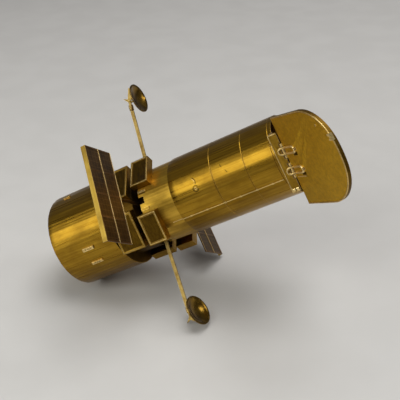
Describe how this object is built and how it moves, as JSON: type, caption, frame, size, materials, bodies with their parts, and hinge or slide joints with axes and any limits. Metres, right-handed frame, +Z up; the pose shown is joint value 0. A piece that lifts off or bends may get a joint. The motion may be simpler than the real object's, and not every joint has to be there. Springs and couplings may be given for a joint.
{
  "type": "space telescope model",
  "caption": "Folded sheet-metal desk model of a space telescope: stepped open tube, bay boxes, hinged D-shaped door, turning solar arrays and turning boom dishes.",
  "frame": {"origin": "bottom centre of the bounding box, on the table the model lies on", "axes": "+Z up from the table, +X from the aft rim towards the door end, level with the table"},
  "size_m": [0.1014, 0.0736, 0.0753],
  "materials": {
    "gold_sheet": "rolled sheet, brushed along the tube, warm gold",
    "gold_matte": "flat etched sheet, matte gold",
    "gold_fittings": "small folded fittings, bright edges",
    "etched_cells": "deep-etched dark cell faces"
  },
  "bodies": {
    "tube": {"aft_shroud": "gold_sheet", "aft_plate": "gold_sheet", "shoulder_plate": "gold_sheet", "core": "gold_sheet", "core_plate": "gold_sheet", "neck": "gold_sheet", "shell_plate": "gold_sheet", "forward_shell": "gold_sheet", "light_shield": "gold_sheet", "core_bays": "gold_sheet", "shell_bays": "gold_sheet", "masts": "gold_fittings", "booms": "gold_fittings", "hinge_bracket": "gold_fittings", "hinge_pins": "gold_fittings"},
    "door": {"door": "gold_matte"},
    "array_near": {"array_near": "gold_sheet", "cells_near": "etched_cells"},
    "array_far": {"array_far": "gold_sheet", "cells_far": "etched_cells"},
    "dish_upper": {"yoke_upper": "gold_fittings", "dish_upper": "gold_matte"},
    "dish_lower": {"yoke_lower": "gold_fittings", "dish_lower": "gold_matte"}
  },
  "joints": [
    {"name": "door_hinge", "type": "hinge", "parent": "tube", "child": "door", "pos_m": [0.03236, -0.01361, 0.05547], "axis": [0.44, -0.1998, -0.8755], "range_deg": [-134.6, 13]},
    {"name": "array_near_turn", "type": "hinge", "parent": "tube", "child": "array_near", "pos_m": [-0.02009, -0.01712, 0.04126], "axis": [-0.2797, -0.7823, 0.5565], "continuous": true},
    {"name": "array_far_turn", "type": "hinge", "parent": "tube", "child": "array_far", "pos_m": [-0.00784, 0.01715, 0.01688], "axis": [0.2797, 0.7823, -0.5565], "continuous": true},
    {"name": "dish_upper_turn", "type": "hinge", "parent": "tube", "child": "dish_upper", "pos_m": [-0.0252, 0.01855, 0.05597], "axis": [-0.3464, 0.4953, 0.7966], "continuous": true},
    {"name": "dish_lower_turn", "type": "hinge", "parent": "tube", "child": "dish_lower", "pos_m": [0.00046, -0.02017, 0.00493], "axis": [0.4134, -0.5648, -0.7142], "continuous": true}
  ]
}
